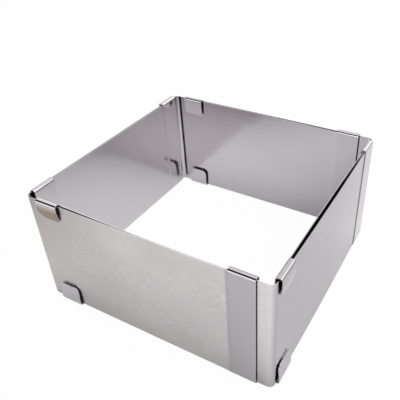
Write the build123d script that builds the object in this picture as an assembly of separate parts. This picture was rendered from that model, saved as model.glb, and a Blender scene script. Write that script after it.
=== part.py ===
"""Adjustable square mousse ring of four bent stainless sheets that slide in each other's hooks.

Each corner of the ring is one sheet, bent square, with an inner arm and an outer arm. On every wall,
seen from outside, the outer arm of the corner on the left lies over the inner arm of the corner on
the right. The free end of each arm is a band that steps away from the sheet beside it. Both edges of
the band are folded over that sheet and down its far side, so that the two arms run in each other.

All sizes are in millimetres. Z is up, X runs along the front wall and Y towards the back wall. The
origin is on the surface that the ring stands on, under the middle of the ring.
"""
import os

from build123d import *

# The bent sheet
sheet_thickness = 0.5
sheet_height = 80.0
arm_length = 156.0              # outer face of the bend to the free edge of either arm
corner_bend_radius = 3.5        # on the outer face
quarter_turn = 90

# How two arms lie on each other
arm_pitch = 0.9                 # outer face of the inner arm to outer face of the outer arm, at the bend
inner_arm_offset = 1.0          # how much further away an inner arm stands at its free end
width_gap = 9.9                 # free edge of an arm to the bend beside it, front and back walls
depth_gap = 4.9                 # the same on the two side walls
closing_clearance = 0.3         # what is left there between sheet and hook when the ring is shut
meeting_clearance = 0.5         # between the hooks of one wall when the ring is wide open

# The band at the free end of an arm
band_width = 16.0
inner_step = 0.3                # how far the band of an inner arm steps into the ring
outer_step = 0.5                # how far the band of an outer arm steps out of the ring
step_run = 1.5                  # length of the arm that the step takes
step_bend_radius = 1.5

# The hooks, one on each edge of a band
inner_arm_channel = 3.6         # clear width inside the hooks of an inner arm, across the wall
outer_arm_channel = 3.1
fold_radius = 0.8               # inside the fold
flap_upright = 4.5              # part of the flap that stands upright, next to the fold
flap_lean_radius = 6.0
flap_clearance = 0.3            # between the flap's free edge and the sheet in the hook
top_clearance = 0.6             # between the fold and the edge of the sheet in the hook
top_flap_height = 12.0          # from the edge of that sheet to the flap's free edge
top_flap_free_radius = 3.8      # flap corner next to the free edge of the arm
top_flap_root_radius = 1.2      # flap corner towards the bend
bottom_clearance = 0.3
bottom_flap_height = 14.0
bottom_flap_free_radius = 3.5
bottom_flap_root_radius = 3.5

# Worked out from the sizes above
standing_height = bottom_clearance + sheet_thickness
ring_width = arm_pitch + arm_length + width_gap
ring_depth = arm_pitch + arm_length + depth_gap
arm_space = arm_pitch - sheet_thickness
closed_gap = outer_arm_channel + sheet_thickness - arm_space - outer_step + closing_clearance
open_gap = arm_length - 2 * band_width - step_run - meeting_clearance


def thick_line(corners, bends):
    """Face of a sheet seen on edge, which lies on the left of the bent line through the corners."""
    line = Wire(FilletPolyline(*corners, radius=bends).edges())
    return Face(line.offset_2d(sheet_thickness, side=Side.LEFT, closed=True))


def wall():
    """The bent sheet without its hooks, with the inner arm along -X and the outer arm along +Y."""
    inner_band = band_width - arm_length
    outer_band = arm_length - band_width
    outer_face = [
        (-arm_length, inner_arm_offset + inner_step),
        (inner_band, inner_arm_offset + inner_step),
        (inner_band + step_run, inner_arm_offset),
        (0, 0),
        (0, outer_band - step_run),
        (outer_step, outer_band),
        (outer_step, arm_length),
    ]
    bends = [step_bend_radius, step_bend_radius, corner_bend_radius, step_bend_radius, step_bend_radius]
    plan = thick_line(outer_face, bends)
    return extrude(plan, sheet_height, dir=(0, 0, 1))


def hook(channel, partner_space, clearance, flap_height, free_radius, root_radius):
    """One hook along a band's top edge, with the band's free end at Y = 0 and its near face at X = 0.

    X runs from the band to the sheet in the hook, which stands partner_space away from the band at the
    most. Z is the height over the edge of that sheet.
    """
    near_face = [
        (0, -flap_upright),
        (0, clearance),
        (channel, clearance),
        (channel, -flap_upright),
        (partner_space + sheet_thickness + flap_clearance, -flap_height),
    ]
    section = thick_line(near_face, [fold_radius, fold_radius, flap_lean_radius])
    bent = extrude(Plane.XZ * section, band_width, dir=(0, 1, 0))
    bent = fillet(flap_corners(bent)[0], free_radius)
    return fillet(flap_corners(bent)[-1], root_radius)


def flap_corners(bent):
    """The short edges at the two ends of the flap's free edge, the one at the band's free end first."""
    free_edge = bent.faces().sort_by(Axis.Z)[0]
    return free_edge.edges().filter_by(Axis.Y, reverse=True).sort_by(Axis.Y)


def hook_pair(channel, partner_space, place):
    """The top and bottom hooks of a band. place is the top of the band's near face, at its free end."""
    top = hook(
        channel, partner_space, top_clearance, top_flap_height, top_flap_free_radius, top_flap_root_radius
    )
    bottom = hook(
        channel,
        partner_space,
        bottom_clearance,
        bottom_flap_height,
        bottom_flap_free_radius,
        bottom_flap_root_radius,
    )
    lowered = mirror(bottom, about=Plane.XY.offset(-sheet_height / 2))
    return place * top + place * lowered


def corner_sheet():
    """One whole corner of the ring: the bent sheet with a pair of hooks on each arm."""
    inner_face = inner_arm_offset + inner_step
    inner_end = Plane(origin=(-arm_length, inner_face, sheet_height), x_dir=(0, -1, 0), z_dir=(0, 0, 1))
    outer_face = outer_step - sheet_thickness
    outer_end = Plane(origin=(outer_face, arm_length, sheet_height), x_dir=(-1, 0, 0), z_dir=(0, 0, 1))
    widest_space = arm_space + inner_arm_offset
    inner_hooks = hook_pair(inner_arm_channel, widest_space + inner_step, inner_end)
    outer_hooks = hook_pair(outer_arm_channel, widest_space + outer_step, outer_end)
    return wall() + inner_hooks + outer_hooks


# Where the outer edge of each bend stands, and how many quarter turns its sheet is turned
half_width = ring_width / 2
half_depth = ring_depth / 2
corners = {
    "front_right_corner": (half_width, arm_pitch - half_depth, 0),
    "back_right_corner": (half_width - arm_pitch, half_depth, 1),
    "back_left_corner": (-half_width, half_depth - arm_pitch, 2),
    "front_left_corner": (arm_pitch - half_width, -half_depth, 3),
}

os.makedirs("parts", exist_ok=True)
sheet = corner_sheet()
for name, (x, y, turns) in corners.items():
    placed = Pos(x, y, standing_height) * Rot(0, 0, turns * quarter_turn) * sheet
    export_step(placed, f"parts/{name}.step")

print("Ring:", round(ring_width, 2), "by", round(ring_depth, 2), "over the outer arms")
print("Sliding range of a wall:", round(closed_gap, 2), "to", round(open_gap, 2))
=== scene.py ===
"""Adjustable square mousse ring of brushed stainless sheet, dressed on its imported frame.

Lengths are in metres. Each corner of the ring is one bent sheet, and all four come out of one Geometry
Nodes tree, which gets the sizes of the sheet and the place and turn of its corner.
"""

from math import cos, pi, radians, sin

import bpy
from mathutils import Matrix, Vector


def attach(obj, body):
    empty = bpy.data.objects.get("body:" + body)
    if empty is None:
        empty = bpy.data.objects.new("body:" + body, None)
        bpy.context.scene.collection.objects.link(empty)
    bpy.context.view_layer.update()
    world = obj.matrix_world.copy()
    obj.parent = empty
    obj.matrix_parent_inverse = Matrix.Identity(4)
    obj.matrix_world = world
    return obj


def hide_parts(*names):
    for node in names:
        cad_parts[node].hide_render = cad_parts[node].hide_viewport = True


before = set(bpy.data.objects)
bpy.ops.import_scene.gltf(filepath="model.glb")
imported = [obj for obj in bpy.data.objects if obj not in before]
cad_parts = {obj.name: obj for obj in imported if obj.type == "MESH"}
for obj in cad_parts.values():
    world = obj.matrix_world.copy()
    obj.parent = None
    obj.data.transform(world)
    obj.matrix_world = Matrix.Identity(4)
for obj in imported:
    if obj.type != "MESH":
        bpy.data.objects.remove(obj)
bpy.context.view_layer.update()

mm = 0.001

# Sizes of the bent sheet, each an input of its tree
sheet_sizes = {
    "Sheet Thickness": 0.5 * mm,
    "Sheet Height": 80 * mm,
    "Arm Length": 156 * mm,
    "Corner Bend Radius": 3.5 * mm,
    "Arm Space": 0.4 * mm,
    "Widest Spread": 1 * mm,
    "Band Width": 16 * mm,
    "Inner Step": 0.3 * mm,
    "Outer Step": 0.5 * mm,
    "Step Run": 1.5 * mm,
    "Step Bend Radius": 1.5 * mm,
    "Inner Arm Channel": 3.6 * mm,
    "Outer Arm Channel": 3.1 * mm,
    "Fold Radius": 1.3 * mm,
    "Flap Upright": 4.5 * mm,
    "Flap Lean Radius": 6 * mm,
    "Top Clearance": 0.6 * mm,
    "Top Flap Clearance": 0.5 * mm,
    "Top Flap Height": 12 * mm,
    "Top Flap Free Radius": 3.8 * mm,
    "Top Flap Root Radius": 1.2 * mm,
    "Bottom Clearance": 0.3 * mm,
    "Bottom Flap Clearance": 0.75 * mm,
    "Bottom Flap Height": 14 * mm,
    "Bottom Flap Free Radius": 3.5 * mm,
    "Bottom Flap Root Radius": 3.5 * mm,
    "Relief Depth": 1 * mm,
}

# Free edge of an arm to the bend beside it, on the front and back walls and on the side walls
width_gap = 9.9 * mm
depth_gap = 4.9 * mm

# Where the outer edge of each bend stands, and how many quarter turns its sheet is turned
arm_pitch = sheet_sizes["Arm Space"] + sheet_sizes["Sheet Thickness"]
standing_height = sheet_sizes["Bottom Clearance"] + sheet_sizes["Sheet Thickness"]
half_width = (arm_pitch + sheet_sizes["Arm Length"] + width_gap) / 2
half_depth = (arm_pitch + sheet_sizes["Arm Length"] + depth_gap) / 2
corner_places = {
    "front_right_corner": (half_width, arm_pitch - half_depth, 0),
    "back_right_corner": (half_width - arm_pitch, half_depth, 1),
    "back_left_corner": (-half_width, half_depth - arm_pitch, 2),
    "front_left_corner": (arm_pitch - half_width, -half_depth, 3),
}

# What differs from sheet to sheet, also inputs of the tree.
# Brushing is 1 where the outside of an arm is fully brushed and 0 where it is smooth.
# A shade here is painted shade, darker colour that stands in for the ring's lighting, and below 0 it is a
# painted highlight: outside on each arm, on the outer arm's band, at the bend and at the brushed foot, and
# inside towards the top. The step's value is painted shade in the groove of the step beside the outer
# arm's band. The inner arm's top flap gets a dark brown painted reflection, and the top of the bend a warm
# tint with painted shade.
# Inner Arm Spread is how far that arm stands off at its free end, the bows are how far the arms bulge out
# of the ring, and Trim is what is cut off the inner arm's top flap.
sheet_finish_and_shading = {
    "front_right_corner": {
        "Inner Brushing": 0.75, "Outer Brushing": 0.1,
        "Inner Shade": -0.13, "Outer Shade": 0.27, "Band Shade": -0.15, "Bend Shade": -0.03,
        "Foot Shade": 0.48, "Inside Top Shade": 0.0,
        "Step Burnish": 1.0, "Flap Straw": 1.0, "Bend Stain": 0.0,
        "Inner Arm Spread": 1 * mm, "Inner Bow": 0.8 * mm, "Outer Bow": 0.45 * mm, "Trim": 1.2 * mm,
    },
    "back_right_corner": {
        "Inner Brushing": 0.1, "Outer Brushing": 0.8,
        "Inner Shade": 0.17, "Outer Shade": 0.0, "Band Shade": 0.1, "Bend Shade": 0.0,
        "Foot Shade": 0.12, "Inside Top Shade": 0.0,
        "Step Burnish": 0.2, "Flap Straw": 0.0, "Bend Stain": 0.0,
        "Inner Arm Spread": 1 * mm, "Inner Bow": -0.6 * mm, "Outer Bow": 0.2 * mm, "Trim": 0 * mm,
    },
    "back_left_corner": {
        "Inner Brushing": 0.8, "Outer Brushing": 0.8,
        "Inner Shade": 0.0, "Outer Shade": 0.0, "Band Shade": 0.1, "Bend Shade": 0.0,
        "Foot Shade": 0.12, "Inside Top Shade": 0.36,
        "Step Burnish": 0.2, "Flap Straw": 0.0, "Bend Stain": 0.0,
        "Inner Arm Spread": 1 * mm, "Inner Bow": 0.2 * mm, "Outer Bow": 0.2 * mm, "Trim": 0 * mm,
    },
    "front_left_corner": {
        "Inner Brushing": 0.8, "Outer Brushing": 1.0,
        "Inner Shade": 0.0, "Outer Shade": 0.0, "Band Shade": 0.16, "Bend Shade": 0.08,
        "Foot Shade": 0.12, "Inside Top Shade": 0.0,
        "Step Burnish": 0.1, "Flap Straw": 0.0, "Bend Stain": 0.45,
        "Inner Arm Spread": 0.3 * mm, "Inner Bow": 0.2 * mm, "Outer Bow": 0 * mm, "Trim": 0 * mm,
    },
}

# How far the painted shading of a sheet reaches
arm_change = 3 * mm             # where the inner arm's finish turns into the outer arm's, on the bend
band_shading_reach = 60 * mm       # from the outer band
bend_shading_reach = 70 * mm       # from the bend
foot_height = 55 * mm           # from the bottom edge
inside_top = (25 * mm, 80 * mm)  # heights between which painted shade rises inside and at the bend's top

# How finely a sheet is divided
plan_spacing = 0.4 * mm
column_spacing = 0.8 * mm
band_columns = 33
wall_rows = 21
flap_rows = 90
bend_steps = 10
merge_distance = 0.01 * mm

# The deburred edges
edge_rounding = 0.18 * mm
edge_segments = 3
sharp_angle = radians(50)


class Out:
    """An output of a node. A sum or product with it becomes a Math node in its tree."""

    def __init__(self, socket):
        self.socket = socket
        self.tree = socket.id_data

    def __add__(self, other):
        return maths(self.tree, "ADD", self, other)

    def __sub__(self, other):
        return maths(self.tree, "SUBTRACT", self, other)

    def __rsub__(self, other):
        return maths(self.tree, "SUBTRACT", other, self)

    def __mul__(self, other):
        return maths(self.tree, "MULTIPLY", self, other)

    def __truediv__(self, other):
        return maths(self.tree, "DIVIDE", self, other)

    def __pow__(self, other):
        return maths(self.tree, "POWER", self, other)

    def __neg__(self):
        return self * -1

    __radd__ = __add__
    __rmul__ = __mul__


def plug(tree, value, socket):
    """Links a node's output to an input, or sets the input to a plain value. None leaves it as it is."""
    if isinstance(value, Out):
        tree.links.new(value.socket, socket)
    elif value is not None:
        socket.default_value = value


def add(tree, kind, *values, output=0, **settings):
    """Makes a node, sets it up, plugs the values into its inputs in order and gives one output, if any."""
    node = tree.nodes.new(kind)
    for name, setting in settings.items():
        setattr(node, name, setting)
    for value, socket in zip(values, node.inputs):
        plug(tree, value, socket)
    return Out(node.outputs[output]) if node.outputs else None


def maths(tree, operation, *values, **settings):
    return add(tree, "ShaderNodeMath", *values, operation=operation, **settings)


def vectors(tree, operation, *values, **settings):
    return add(tree, "ShaderNodeVectorMath", *values, operation=operation, **settings)


def scaled(tree, vector, factor):
    """The vector times a number."""
    return vectors(tree, "SCALE", vector, None, None, factor)


def clamped(tree, value):
    """The value, kept between 0 and 1."""
    return maths(tree, "ADD", value, 0.0, use_clamp=True)


def between(first, second, share):
    """From the first value at a share of 0 to the second at 1."""
    return first + (second - first) * share


def mixed(tree, share, first, second):
    """From the first colour at a share of 0 to the second at 1."""
    change = scaled(tree, vectors(tree, "SUBTRACT", second, first), share)
    return vectors(tree, "ADD", change, first)


def new_tree(name, inputs):
    """A Geometry Nodes tree with the named inputs. Gives the tree and its inputs as a dict."""
    tree = bpy.data.node_groups.new(name, "GeometryNodeTree")
    for label, kind in inputs.items():
        tree.interface.new_socket(label, in_out="INPUT", socket_type=kind)
    tree.interface.new_socket("Geometry", in_out="OUTPUT", socket_type="NodeSocketGeometry")
    node = tree.nodes.new("NodeGroupInput")
    return tree, {label: Out(node.outputs[label]) for label in inputs}


def end_tree(tree, geometry):
    plug(tree, geometry, tree.nodes.new("NodeGroupOutput").inputs[0])


def named(tree, geometry, name, value, kind="FLOAT", domain="POINT"):
    """Stores a value on the geometry under a name."""
    return add(
        tree, "GeometryNodeStoreNamedAttribute", geometry, None, name, value, data_type=kind, domain=domain
    )


def read(tree, name, kind="FLOAT"):
    """What is stored on the geometry under a name."""
    return add(tree, "GeometryNodeInputNamedAttribute", name, data_type=kind)


def choose(tree, kind, choices):
    """For each point of a line, the choice with the point's number."""
    node = tree.nodes.new("GeometryNodeIndexSwitch")
    node.data_type = kind
    while len(node.index_switch_items) < len(choices):
        node.index_switch_items.new()
    plug(tree, add(tree, "GeometryNodeInputIndex"), node.inputs[0])
    for number, choice in enumerate(choices, start=1):
        plug(tree, choice, node.inputs[number])
    return Out(node.outputs[0])


def joined(tree, parts):
    """The parts as one geometry."""
    node = tree.nodes.new("GeometryNodeJoinGeometry")
    for part in parts:
        tree.links.new(part.socket, node.inputs[0])
    return Out(node.outputs[0])


def bent_line(tree, corners, bends):
    """A curve through the corners, rounded by the bend radius at each corner between its ends."""
    points = [add(tree, "ShaderNodeCombineXYZ", x, y) for x, y in corners]
    line = add(tree, "GeometryNodeMeshLine", len(corners))
    line = add(tree, "GeometryNodeSetPosition", line, None, choose(tree, "VECTOR", points))
    line = add(tree, "GeometryNodeMeshToCurve", line)
    radii = choose(tree, "FLOAT", [0.0, *bends, 0.0])
    return add(tree, "GeometryNodeFilletCurve", line, bend_steps, radii, False, mode="POLY")


def curve_length(tree, curve):
    return add(tree, "GeometryNodeCurveLength", curve)


def length_so_far(tree):
    """For each point of a curve, how much of the curve lies before it."""
    return add(tree, "GeometryNodeSplineParameter", output=1)


def upright_line(tree, low, high, rows):
    """Profile of a flat wall between two heights. A profile's Y axis points down once it is swept."""
    ends = [add(tree, "ShaderNodeCombineXYZ", 0.0, -z) for z in (low, high)]
    line = add(tree, "GeometryNodeCurvePrimitiveLine", *ends)
    line = add(tree, "GeometryNodeResampleCurve", line, None, rows)
    return named(tree, line, "up", low + length_so_far(tree))


def corner_inset(tree, radius):
    """How far a rounded flap corner draws the flap's end in, at each distance from its free edge."""
    share = clamped(tree, (radius - read(tree, "to_edge")) / radius)
    return radius * (1 - maths(tree, "SQRT", 1 - share * share))


def hook_tree():
    """One hook along an edge of a band: the fold over the partner's edge, and the flap down its far side.

    Side is 1 for a hook that folds to the right of the rail and -1 to the left. Upward is 1 at the top
    edge and -1 at the bottom edge. Rail Direction is 1 where the rail starts at the band's free end and
    -1 where it ends there.
    """
    labels = [
        "Side", "Upward", "Rail Direction", "Edge Height", "Sheet Thickness", "Relief Depth", "Channel",
        "Partner Space", "Clearance", "Fold Radius", "Flap Upright", "Flap Lean Radius", "Flap Clearance",
        "Flap Height", "Free Radius", "Root Radius",
    ]
    sizes = dict.fromkeys(labels, "NodeSocketFloat")
    tree, given = new_tree("folded_hook", {"Rail": "NodeSocketGeometry"} | sizes)

    # The hook's section, along the middle of its sheet, with its heights from the edge of the wall
    thickness = given["Sheet Thickness"]
    half = thickness * 0.5
    far = given["Channel"] + thickness
    free = given["Partner Space"] + given["Flap Clearance"] + thickness * 2
    web = given["Clearance"] + half
    section = [
        (0.0, -given["Relief Depth"]), (0.0, web), (far, web), (far, -given["Flap Upright"]),
        (free, -given["Flap Height"]),
    ]
    corners = [
        (given["Side"] * x, -(given["Edge Height"] + given["Upward"] * z)) for x, z in section
    ]
    fold = given["Fold Radius"] + half
    line = bent_line(tree, corners, [fold, fold, given["Flap Lean Radius"] + half])

    # Rows that come closer together towards the flap's free edge, where its corners are rounded
    crowding = 1.5
    length = curve_length(tree, line)
    rows = add(tree, "GeometryNodeResampleCurve", line, None, flap_rows)
    to_edge = (1 - add(tree, "GeometryNodeSplineParameter")) ** crowding * length
    run = length - to_edge
    place = add(tree, "GeometryNodeSampleCurve", line, None, None, run, output=1, mode="LENGTH")
    rows = named(tree, rows, "to_edge", to_edge)
    rows = named(tree, rows, "flap", clamped(tree, 1 - to_edge / given["Flap Height"]))
    up = given["Edge Height"] + given["Upward"] * (run - given["Relief Depth"])
    rows = named(tree, rows, "up", up)
    rows = add(tree, "GeometryNodeSetPosition", rows, None, place)

    direction = given["Rail Direction"]
    rail_length = curve_length(tree, given["Rail"])
    from_free = rail_length * (0.5 - direction * 0.5) + direction * length_so_far(tree)
    rail = named(tree, given["Rail"], "from_free", from_free / rail_length)
    rail = named(tree, rail, "away", add(tree, "GeometryNodeInputTangent"), kind="FLOAT_VECTOR")
    hook = add(tree, "GeometryNodeCurveToMesh", rail, rows)

    # The flap's corners, drawn in from both ends
    share = read(tree, "from_free")
    inset = (1 - share) * corner_inset(tree, given["Free Radius"])
    inset = inset - share * corner_inset(tree, given["Root Radius"])
    shift = scaled(tree, read(tree, "away", "FLOAT_VECTOR"), inset * direction)
    hook = add(tree, "GeometryNodeSetPosition", hook, None, None, shift)
    lower = maths(tree, "LESS_THAN", given["Upward"], 0.0)
    end_tree(tree, add(tree, "GeometryNodeFlipFaces", hook, lower))
    return tree


def bowed_plan(tree, given):
    """The sheet seen from above along its middle, arms bowed, with its finish and painted shade stored on it.
    """
    half = given["Sheet Thickness"] * 0.5
    arm = given["Arm Length"]
    band = given["Band Width"]
    run = given["Step Run"]
    step_out = given["Outer Step"] - half
    step_in = given["Inner Step"] + half
    spread = given["Inner Arm Spread"]
    corners = [
        (-arm, spread + step_in), (band - arm, spread + step_in), (band - arm + run, spread + half),
        (-half, half),
        (-half, arm - band - run), (step_out, arm - band), (step_out, arm),
    ]
    wide = given["Step Bend Radius"] + half
    tight = given["Step Bend Radius"] - half
    plan = bent_line(tree, corners, [wide, tight, given["Corner Bend Radius"] - half, wide, tight])
    length = curve_length(tree, plan)
    plan = add(tree, "GeometryNodeResampleCurve", plan, None, None, plan_spacing, mode="LENGTH")
    plan = named(tree, plan, "along", length_so_far(tree))
    along = read(tree, "along")
    to_end = maths(tree, "MINIMUM", along, length - along)
    outer = clamped(tree, (along - length * 0.5) / arm_change + 0.5)

    # The arms bow out a little between band and bend
    share = clamped(tree, (to_end - band) / (arm - band))
    bow = maths(tree, "SINE", share * pi) * between(given["Inner Bow"], given["Outer Bow"], outer)
    outward = vectors(tree, "CROSS_PRODUCT", add(tree, "GeometryNodeInputTangent"), (0, 0, 1))
    plan = add(tree, "GeometryNodeSetPosition", plan, None, None, scaled(tree, outward, bow))

    # The brushing stops where the bands are pressed
    pressed = clamped(tree, (band - to_end) / run + 1)
    brushing = between(given["Inner Brushing"], given["Outer Brushing"], outer)
    plan = named(tree, plan, "brushing", (1 - pressed) * brushing)

    # Painted shade: less on the outer arm at its band and near it, and its own at the bend and the step
    less_painted_shade_at_band = 0.5
    step_shade_depth = 0.8
    step_shade_core = 1.2              # above 1, the middle of the step is evenly dark
    beside_band = clamped(tree, (band - to_end) / band_shading_reach + 1)
    outer_painted_shading = between(given["Outer Shade"], given["Band Shade"], pressed)
    outer_painted_shading = outer_painted_shading * (1 - beside_band * less_painted_shade_at_band)
    painted_shading = between(given["Inner Shade"], outer_painted_shading, outer)
    at_bend = clamped(tree, 1 - (length * 0.5 - to_end) / bend_shading_reach)
    # Painted shade along the step's groove, where a shadow falls
    from_step = maths(tree, "ABSOLUTE", band + run * 0.5 - to_end)
    groove = clamped(tree, step_shade_core - from_step / run) * outer
    painted_shading = painted_shading + at_bend * given["Bend Shade"]
    plan = named(tree, plan, "painted_shading", painted_shading + groove * given["Step Burnish"] * step_shade_depth)

    # Painted shade inside near the top, full from the bend to half-way along an arm, fading to the free end
    half_arm = length * 0.25
    inside_painted_shade = clamped(tree, to_end / half_arm) * given["Inside Top Shade"]
    plan = named(tree, plan, "inside_painted_shade", inside_painted_shade)
    # A warm tint with painted shade at the top of the bend
    plan = named(tree, plan, "bend_tint_and_shade", at_bend * given["Bend Stain"])
    # Painted shade at the brushed foot, where the steel reflects the shadowed floor
    return named(tree, plan, "foot_painted_shade", given["Foot Shade"])


def folded_hook(tree, given, hook, arm_name, end, own):
    """One of the four hooks. own holds the inputs that only its place on the sheet gives."""
    node = tree.nodes.new("GeometryNodeGroup")
    node.node_tree = hook
    own = own | {
        "Channel": given[arm_name + " Channel"],
        "Clearance": given[end + " Clearance"],
        "Flap Clearance": given[end + " Flap Clearance"],
        "Flap Height": given[end + " Flap Height"],
        "Free Radius": given[end + " Flap Free Radius"],
        "Root Radius": given[end + " Flap Root Radius"],
    }
    trimmed = (arm_name, end) == ("Inner Arm", "Top")
    if trimmed:
        own["Flap Height"] = own["Flap Height"] - given["Trim"]
        own["Free Radius"] = own["Free Radius"] + given["Trim"]
    for socket in node.inputs:
        plug(tree, own.get(socket.name, given.get(socket.name)), socket)
    folded = Out(node.outputs[0])
    if not trimmed:
        return folded
    # The inner arm's top flap gets a dark brown painted reflection
    flap_reflection_rise = 2.2                # the colour is full a little before half-way down the flap
    flap_painted_reflection = clamped(tree, read(tree, "flap") * flap_reflection_rise) * given["Flap Straw"]
    return named(tree, folded, "flap_painted_reflection", flap_painted_reflection)


def bent_sheet_tree(hook):
    """A whole corner sheet without its thickness: two arms, the bend between them and four hooks."""
    labels = [
        *sheet_sizes, *sheet_finish_and_shading["front_right_corner"], "Corner X", "Corner Y", "Turn", "Standing Height"
    ]
    sizes = dict.fromkeys(labels, "NodeSocketFloat")
    tree, given = new_tree("bent_corner_sheet", sizes | {"Steel": "NodeSocketMaterial"})
    band = given["Band Width"]
    height = given["Sheet Height"]
    relief = given["Relief Depth"]
    plan = bowed_plan(tree, given)
    length = curve_length(tree, plan)

    def rail(start, end, count=None, gap=None):
        """A stretch of the plan, divided into a count of points or by a gap."""
        cut = add(tree, "GeometryNodeTrimCurve", plan, None, None, None, start, end, mode="LENGTH")
        mode = "COUNT" if count else "LENGTH"
        return add(tree, "GeometryNodeResampleCurve", cut, None, count, gap, mode=mode)

    inner_rail = rail(0.0, band, count=band_columns)
    middle_rail = rail(band, length - band, gap=column_spacing)
    outer_rail = rail(length - band, length, count=band_columns)

    # The wall, with a slit beside the root of each hook
    all_rails = joined(tree, [inner_rail, middle_rail, outer_rail])
    wall_line = upright_line(tree, relief, height - relief, wall_rows)
    foot_line = upright_line(tree, 0.0, relief, 2)
    brim_line = upright_line(tree, height - relief, height, 2)
    parts = [
        add(tree, "GeometryNodeCurveToMesh", all_rails, wall_line),
        add(tree, "GeometryNodeCurveToMesh", middle_rail, joined(tree, [foot_line, brim_line])),
    ]

    # The inner arm's hooks fold outwards from the start of the plan, the outer arm's inwards from its end
    inner_space = given["Arm Space"] + (given["Inner Arm Spread"] + given["Inner Step"])
    outer_space = given["Arm Space"] + (given["Widest Spread"] + given["Outer Step"])
    for arm_name, side, the_rail, space in (
        ("Inner Arm", 1.0, inner_rail, inner_space),
        ("Outer Arm", -1.0, outer_rail, outer_space),
    ):
        for end, upward, edge in (("Top", 1.0, height), ("Bottom", -1.0, 0.0)):
            own = {
                "Rail": the_rail, "Side": side, "Rail Direction": side, "Upward": upward,
                "Edge Height": edge, "Partner Space": space,
            }
            parts.append(folded_hook(tree, given, hook, arm_name, end, own))

    # The brushed grain runs along the UV map's first axis, and its second is the height
    sheet = add(tree, "GeometryNodeMergeByDistance", joined(tree, parts), None, merge_distance)
    grain = add(tree, "ShaderNodeCombineXYZ", read(tree, "along"), read(tree, "up"))
    sheet = named(tree, sheet, "UVMap", grain, kind="FLOAT2", domain="CORNER")
    for name in ("along", "up", "to_edge", "from_free", "away", "flap"):
        sheet = add(tree, "GeometryNodeRemoveAttribute", sheet, name)
    place = add(tree, "ShaderNodeCombineXYZ", given["Corner X"], given["Corner Y"], given["Standing Height"])
    turn = add(tree, "ShaderNodeCombineXYZ", 0.0, 0.0, given["Turn"])
    sheet = add(tree, "GeometryNodeTransform", sheet, place, turn)
    sheet = add(tree, "GeometryNodeSetShadeSmooth", sheet, None, True)
    sheet = add(tree, "GeometryNodeRealizeInstances", sheet)
    end_tree(tree, add(tree, "GeometryNodeSetMaterial", sheet, None, given["Steel"]))
    return tree


def stored(tree, name):
    """What is stored on the sheet under a name, as its material reads it."""
    return add(tree, "ShaderNodeAttribute", output=2, attribute_name=name)


def noise(tree, vector, per_metre, detail, roughness):
    """Soft noise with so many waves to the metre along the sheet and up it."""
    placed = add(tree, "ShaderNodeMapping", vector, None, None, (*per_metre, 1))
    return add(tree, "ShaderNodeTexNoise", placed, None, 1.0, detail, roughness)


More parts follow.
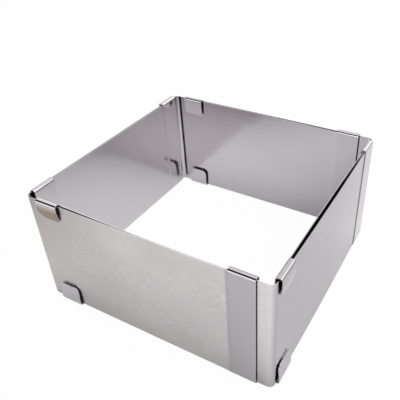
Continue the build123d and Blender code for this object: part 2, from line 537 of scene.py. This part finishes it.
def brushed_steel_with_painted_shading():
    """Stainless sheet, satin brushed along the outside of the walls, smoother inside and on the bands.

    Its colour carries painted shade, painted highlights and a painted reflection.
    """
    material = bpy.data.materials.new("brushed_steel_with_painted_shading")
    material.use_nodes = True
    tree = material.node_tree
    tree.nodes.clear()
    smooth_colour = (0.76, 0.727, 0.757)
    brushed_colour = (0.77, 0.737, 0.742)
    bend_tint_colour = (0.72, 0.62, 0.57)
    flap_reflection_colour = (0.36, 0.27, 0.2)

    # The outside of the ring is brushed, apart from the pressed bands and their hooks
    place = add(tree, "ShaderNodeTexCoord", output=3)
    facing = add(tree, "ShaderNodeNewGeometry", output=1)
    outward = vectors(tree, "DOT_PRODUCT", place, facing, output=1)
    outside = maths(tree, "GREATER_THAN", outward, 0.0)
    brushed = outside * stored(tree, "brushing")
    # Painted shade, with painted highlight where it is below 0, and the flap's painted reflection
    painted_shading = outside * stored(tree, "painted_shading")
    flap_painted_reflection = outside * stored(tree, "flap_painted_reflection")

    # Short faint streaks of the brush in patches, a soft cloudiness, and the hairlines themselves
    along_sheet = add(tree, "ShaderNodeUVMap", uv_map="UVMap")
    streaks = noise(tree, along_sheet, per_metre=(200, 1300), detail=2.0, roughness=0.6)
    patches = noise(tree, along_sheet, per_metre=(25, 45), detail=1.0, roughness=0.5)
    clouds = noise(tree, along_sheet, per_metre=(22, 40), detail=3.0, roughness=0.55)
    hairs = noise(tree, along_sheet, per_metre=(120, 6000), detail=2.0, roughness=0.5)
    patchy = patches * 2 - 0.4
    marks = (streaks - 0.5) * patchy * brushed
    smooth = outside - brushed

    # How light the steel is: painted shade where it is smooth, at the brushed foot, inside towards the top,
    # as stored for each arm, band, bend and step, and with a warm tint near the bend's top; a stored shade
    # below 0 is a painted highlight
    streak_depth = 0.6
    cloud_depth = 0.05 + brushed * 0.2
    smooth_painted_shade = 0.17
    bend_shade_depth = 0.75
    low_inside, high_inside = inside_top
    height = add(tree, "ShaderNodeSeparateXYZ", along_sheet, output=1)
    foot = clamped(tree, 1 - height / foot_height)
    top = clamped(tree, (height - low_inside) / (high_inside - low_inside))
    blotchy = 0.4 + clouds * 1.2
    bend_tint_and_shade = outside * top * blotchy * stored(tree, "bend_tint_and_shade")
    inside_painted_shade = (1 - outside) * stored(tree, "inside_painted_shade")
    tone = 1 + marks * streak_depth + (clouds - 0.5) * cloud_depth
    tone = tone * (1 - smooth * smooth_painted_shade) * (1 - painted_shading)
    # Painted shade at the brushed foot
    tone = tone * (1 - foot * foot * brushed * stored(tree, "foot_painted_shade"))
    tone = tone * (1 - top * top * inside_painted_shade) * (1 - bend_tint_and_shade * bend_shade_depth)
    colour = mixed(tree, brushed, smooth_colour, brushed_colour)
    colour = mixed(tree, bend_tint_and_shade, colour, bend_tint_colour)
    colour = mixed(tree, flap_painted_reflection, colour, flap_reflection_colour)

    # The hairlines and the cloudiness are also shallow relief
    hair_strength = 0.06
    hair_depth = 0.02 * mm
    wave_strength = 0.2
    wave_depth = 1 * mm
    lined = add(tree, "ShaderNodeBump", hair_strength, hair_depth, None, hairs)
    waved = add(tree, "ShaderNodeBump", wave_strength, wave_depth, None, clouds, lined)
    smooth_roughness = 0.15
    brushed_roughness = 0.15
    streak_roughness = 0.12
    shader = tree.nodes.new("ShaderNodeBsdfPrincipled")
    settings = {
        "Metallic": 1.0,
        "Base Color": scaled(tree, colour, tone),
        "Roughness": smooth_roughness + brushed * brushed_roughness + marks * streak_roughness,
        "Anisotropic": 0.4,
        "Anisotropic Rotation": 0.25,
        "Normal": waved,
        "Tangent": add(tree, "ShaderNodeTangent", direction_type="UV_MAP", uv_map="UVMap"),
    }
    for name, value in settings.items():
        plug(tree, value, shader.inputs[name])
    add(tree, "ShaderNodeOutputMaterial", Out(shader.outputs[0]))
    return material


def sheet_piece(name, tree, steel):
    """One corner sheet as a plain mesh on its body, with its thickness and its deburred edges."""
    piece = bpy.data.objects.new(name + "_sheet", bpy.data.meshes.new(name + "_sheet"))
    bpy.context.scene.collection.objects.link(piece)
    maker = piece.modifiers.new("bent sheet", "NODES")
    maker.node_group = tree
    x, y, turns = corner_places[name]
    values = sheet_sizes | sheet_finish_and_shading[name] | {
        "Corner X": x, "Corner Y": y, "Turn": turns * pi / 2, "Standing Height": standing_height,
        "Steel": steel,
    }
    for item in tree.interface.items_tree:
        if item.in_out == "INPUT":
            maker[item.identifier] = values[item.name]
    thicken = piece.modifiers.new("thickness", "SOLIDIFY")
    thicken.thickness = sheet_sizes["Sheet Thickness"]
    thicken.offset = 0
    deburr = piece.modifiers.new("deburred edges", "BEVEL")
    deburr.width = edge_rounding
    deburr.segments = edge_segments
    deburr.limit_method = "ANGLE"
    deburr.angle_limit = sharp_angle
    piece.modifiers.new("flat faces stay flat", "WEIGHTED_NORMAL")
    seen = piece.evaluated_get(bpy.context.evaluated_depsgraph_get())
    mesh = bpy.data.meshes.new_from_object(seen)
    mesh.name = name + "_sheet"

    # The sheet has one material, so its faces need no number for it
    mesh.attributes.remove(mesh.attributes["material_index"])
    mesh.materials.clear()
    mesh.materials.append(steel)
    piece.modifiers.clear()
    piece.data = mesh
    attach(piece, name)
    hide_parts(name)


def photograph_camera():
    """The camera at the photograph's place, with its axis nearer to the picture's middle."""
    picture_width = 400             # pixels, as are the next four
    picture_middle = 200
    focal_length = 511.24
    axis_from_left = 240
    axis_from_top = 190
    azimuth, elevation, roll = radians(-29.405), radians(-34.653), radians(-1.305)
    place = Vector((0.15431, -0.23775, 0.25609))

    camera_data = bpy.data.cameras.new("camera")
    camera_data.sensor_width = 36
    camera_data.lens = focal_length / picture_width * camera_data.sensor_width
    camera_data.shift_x = (picture_middle - axis_from_left) / picture_width
    camera_data.shift_y = (axis_from_top - picture_middle) / picture_width
    camera = bpy.data.objects.new("camera", camera_data)
    bpy.context.scene.collection.objects.link(camera)
    ahead = Vector((sin(azimuth) * cos(elevation), cos(azimuth) * cos(elevation), sin(elevation)))
    level = ahead.cross((0, 0, 1)).normalized()
    upright = level.cross(ahead)
    right = cos(roll) * level + sin(roll) * upright
    up = -sin(roll) * level + cos(roll) * upright
    turn = Matrix((right, up, -ahead)).transposed().to_4x4()
    camera.matrix_world = Matrix.Translation(place) @ turn
    bpy.context.scene.camera = camera


def pale_floor():
    """Matt white board, lifted to the backdrop's white where the camera or the steel sees it."""
    matt_white = (0.8, 0.8, 0.8, 1)
    camera_lift = 0.97
    mirror_lift = 0.1
    material = bpy.data.materials.new("pale_floor")
    material.use_nodes = True
    tree = material.node_tree
    tree.nodes.clear()
    board = add(tree, "ShaderNodeBsdfDiffuse", matt_white)
    white = add(tree, "ShaderNodeEmission", (1, 1, 1, 1), 1.0)
    path = tree.nodes.new("ShaderNodeLightPath")
    seen = Out(path.outputs["Is Camera Ray"])
    mirrored = Out(path.outputs["Is Glossy Ray"]) + Out(path.outputs["Is Transmission Ray"])
    lift = seen * camera_lift + mirrored * mirror_lift
    add(tree, "ShaderNodeOutputMaterial", add(tree, "ShaderNodeMixShader", lift, board, white))
    return material


def studio_floor():
    """The level that the ring stands on."""
    reach = 3
    corners = [(-reach, -reach, 0), (reach, -reach, 0), (reach, reach, 0), (-reach, reach, 0)]
    floor = bpy.data.objects.new("floor", bpy.data.meshes.new("floor"))
    floor.data.from_pydata(corners, [], [(0, 1, 2, 3)])
    bpy.context.scene.collection.objects.link(floor)
    floor.data.materials.append(pale_floor())


def studio():
    """An even white studio, dark above on the left and bright low in front, which draws the folds' lines."""
    world = bpy.data.worlds.new("studio")
    bpy.context.scene.world = world
    world.use_nodes = True
    tree = world.node_tree
    tree.nodes.clear()
    towards = add(tree, "ShaderNodeTexCoord")

    def zone(direction, outer, inner, strength):
        """A round zone, at its full strength within the inner angle in degrees and gone past the outer."""
        facing = vectors(tree, "DOT_PRODUCT", towards, Vector(direction).normalized(), output=1)
        edges = [cos(radians(outer)), cos(radians(inner))]
        return add(
            tree, "ShaderNodeMapRange", facing, *edges, 0.0, strength, interpolation_type="SMOOTHSTEP"
        )

    base_level = 0.54
    bright = [
        zone((0.55, -0.3, 0.78), outer=48, inner=10, strength=0.6),
        zone((0.0, 0.0, 1.0), outer=34, inner=5, strength=0.55),
        zone((-0.45, 0.55, 0.7), outer=46, inner=12, strength=0.5),
        zone((0.3, 0.75, 0.6), outer=26, inner=12, strength=1.0),
    ]
    dark = zone((-0.48, -0.42, 0.77), outer=34, inner=27, strength=0.97)
    low_front = zone((-0.3, -0.95, 0.0), outer=38, inner=20, strength=1.2)
    level = sum(bright, base_level) * (1 - dark) + low_front
    camera_sees = Out(tree.nodes.new("ShaderNodeLightPath").outputs["Is Camera Ray"])
    background = add(tree, "ShaderNodeBackground", (1, 1, 1, 1), between(level, 1, camera_sees))
    add(tree, "ShaderNodeOutputWorld", background)


def softbox_lamp():
    """A soft light, above on the right, that faces the ring."""
    place = Vector((0.42, 0.08, 0.62))
    lamp = bpy.data.lights.new("softbox", "AREA")
    lamp.shape = "SQUARE"
    lamp.size = 0.5
    lamp.energy = 1.4
    softbox = bpy.data.objects.new("softbox", lamp)
    bpy.context.scene.collection.objects.link(softbox)
    turn = place.to_track_quat("Z", "Y").to_matrix().to_4x4()
    softbox.matrix_world = Matrix.Translation(place) @ turn


steel = brushed_steel_with_painted_shading()
sheet_tree = bent_sheet_tree(hook_tree())
for name in corner_places:
    sheet_piece(name, sheet_tree, steel)
photograph_camera()
studio_floor()
studio()
softbox_lamp()
bpy.context.scene.view_settings.view_transform = "Standard"
